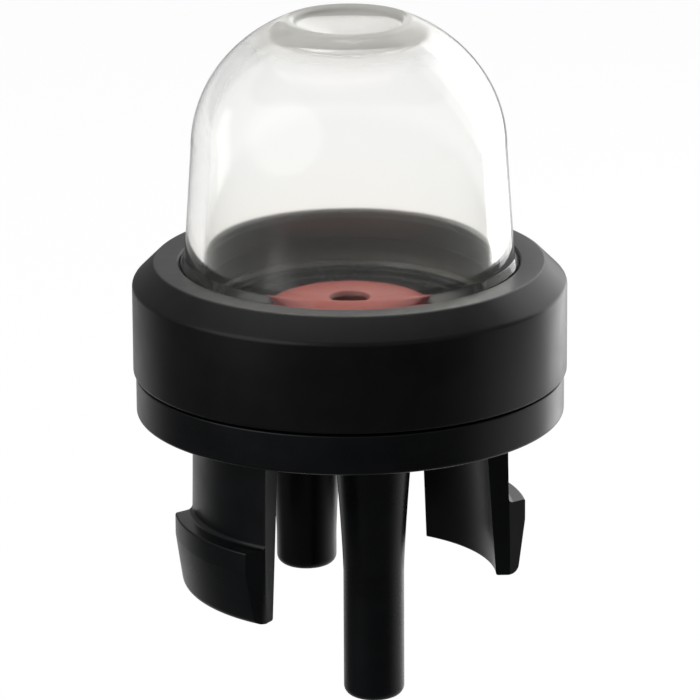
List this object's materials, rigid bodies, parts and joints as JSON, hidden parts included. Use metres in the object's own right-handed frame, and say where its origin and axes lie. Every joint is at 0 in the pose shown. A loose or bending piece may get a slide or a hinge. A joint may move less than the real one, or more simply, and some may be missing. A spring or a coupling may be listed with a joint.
{
  "type": "primer bulb",
  "caption": "Snap-in fuel primer: clear squeeze bulb in a round black ring, on a moulded base with hose nipples and spring tabs.",
  "frame": {"origin": "on the bulb's axis, at the underside of the base disc, which seats on the panel", "axes": "+Z along the bulb's axis towards its dimple, X through the two spring tabs, Y through the two hose nipples, with the long one at -Y"},
  "size_m": [0.022, 0.022, 0.0351],
  "materials": {
    "clear_bulb": "clear, glossy, slightly milky",
    "ring_plastic": "black, satin",
    "base_plastic": "black, satin to semi-gloss",
    "valve_rubber": "salmon red, smooth"
  },
  "bodies": {
    "root": {"bulb": "clear_bulb", "retaining_ring": "ring_plastic", "base_body": "base_plastic", "check_valve": "valve_rubber"}
  },
  "joints": []
}
